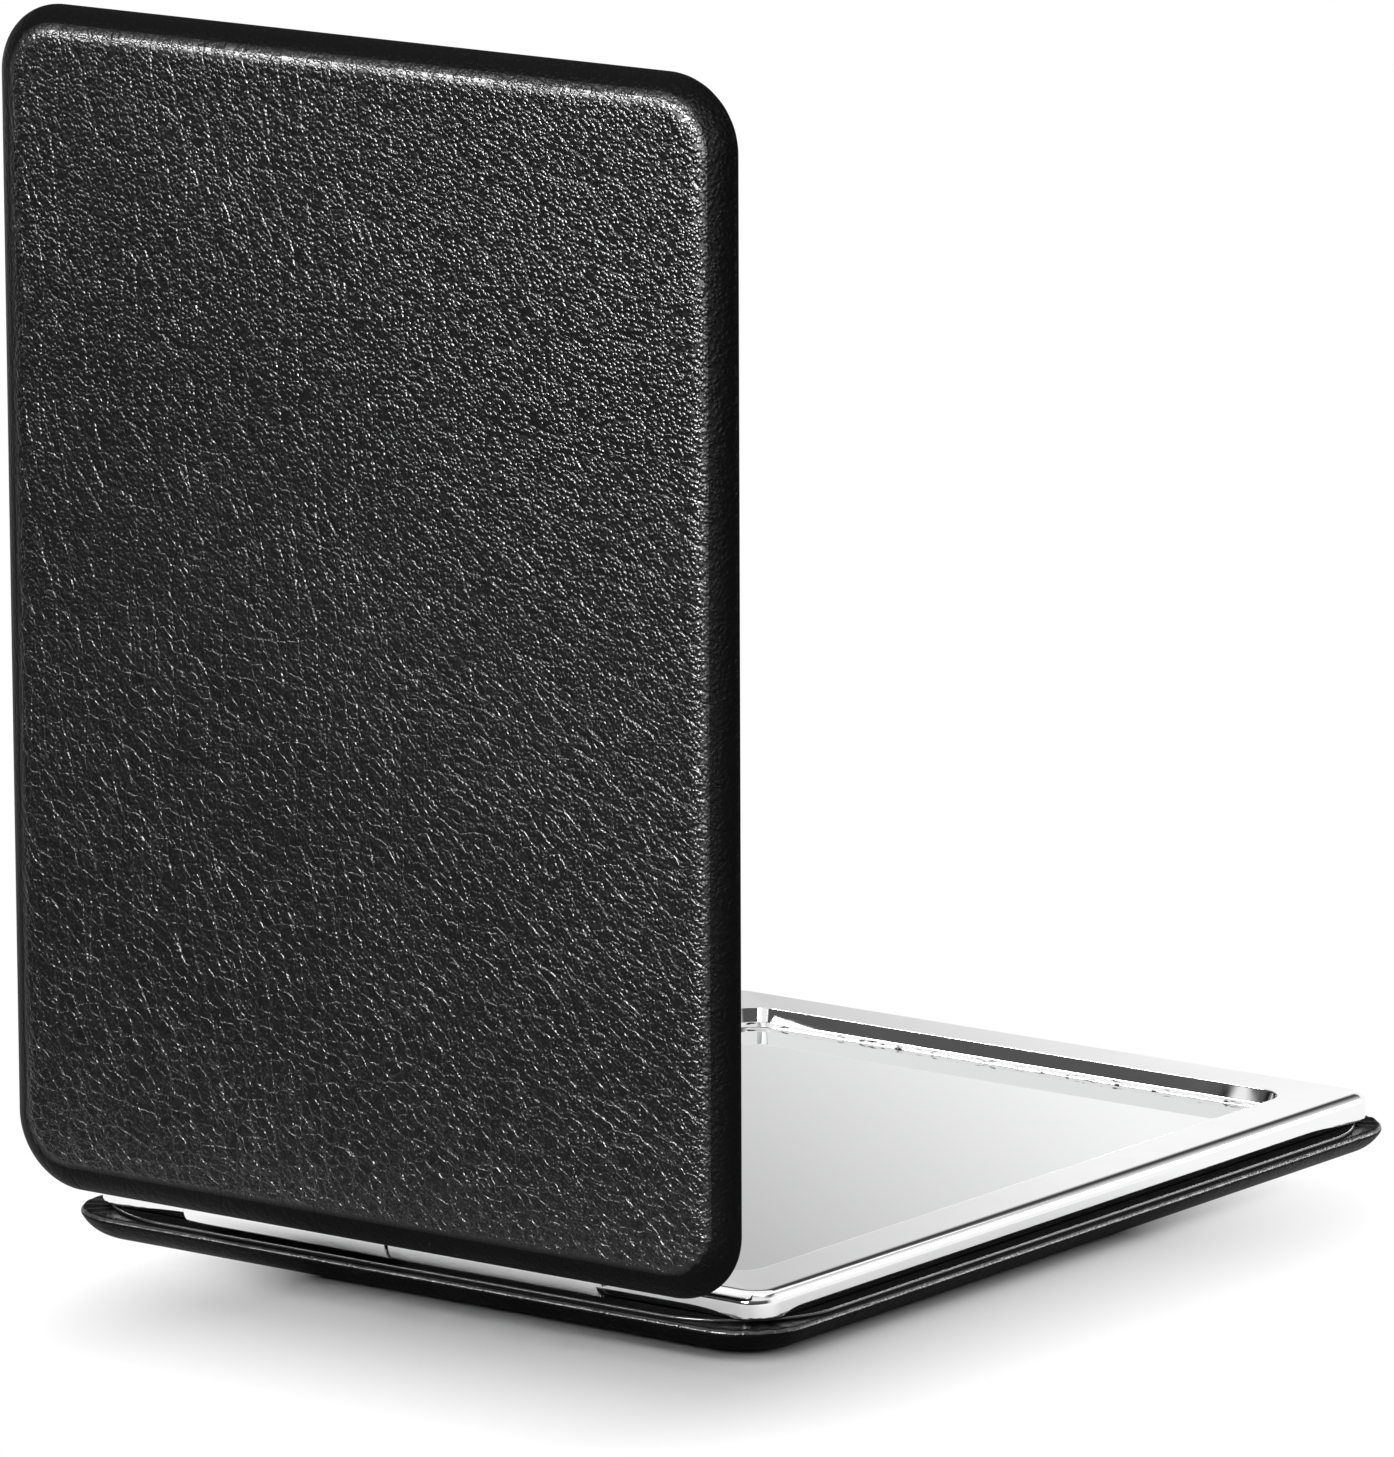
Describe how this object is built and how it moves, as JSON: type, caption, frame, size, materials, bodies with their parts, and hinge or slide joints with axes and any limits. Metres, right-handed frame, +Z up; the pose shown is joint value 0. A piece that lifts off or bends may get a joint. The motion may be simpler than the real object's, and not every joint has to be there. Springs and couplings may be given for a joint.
{
  "type": "compact mirror",
  "caption": "Folding rectangular pocket mirror: leather-covered base and lid on a friction hinge, each with a polished metal rim frame round a sunk mirror pane.",
  "frame": {"origin": "centre of the base's underside, on the surface that the mirror stands on", "axes": "+X along the hinge, +Y from the hinge towards the base's free end, +Z up"},
  "size_m": [0.062, 0.0936, 0.0905],
  "materials": {
    "leather": "grained, satin",
    "lining": "fine grained, satin",
    "foam": "open foam",
    "board": "grey board",
    "tape": "adhesive film",
    "chrome": "polished plating",
    "mirror": "silvered glass",
    "magnet": "nickel plated",
    "pin_steel": "drawn steel"
  },
  "bodies": {
    "base": {"base_leather_cover": "leather", "base_foam_pad": "foam", "base_stiffener_board": "board", "base_lining_sheet": "lining", "base_frame_tape": "tape", "base_chrome_frame": "chrome", "base_mirror_tape": "tape", "base_mirror_glass": "mirror", "base_magnet_left": "magnet", "base_magnet_right": "magnet", "hinge_pin": "pin_steel"},
    "lid": {"lid_leather_cover": "leather", "lid_foam_pad": "foam", "lid_stiffener_board": "board", "lid_lining_sheet": "lining", "lid_frame_tape": "tape", "lid_chrome_frame": "chrome", "lid_mirror_tape": "tape", "lid_mirror_glass": "mirror", "lid_magnet_left": "magnet", "lid_magnet_right": "magnet"}
  },
  "joints": [
    {"name": "lid_hinge", "type": "hinge", "parent": "base", "child": "lid", "pos_m": [0, -0.0434, 0.00438], "axis": [1, 0, 0], "range_deg": [-92, 88]}
  ]
}
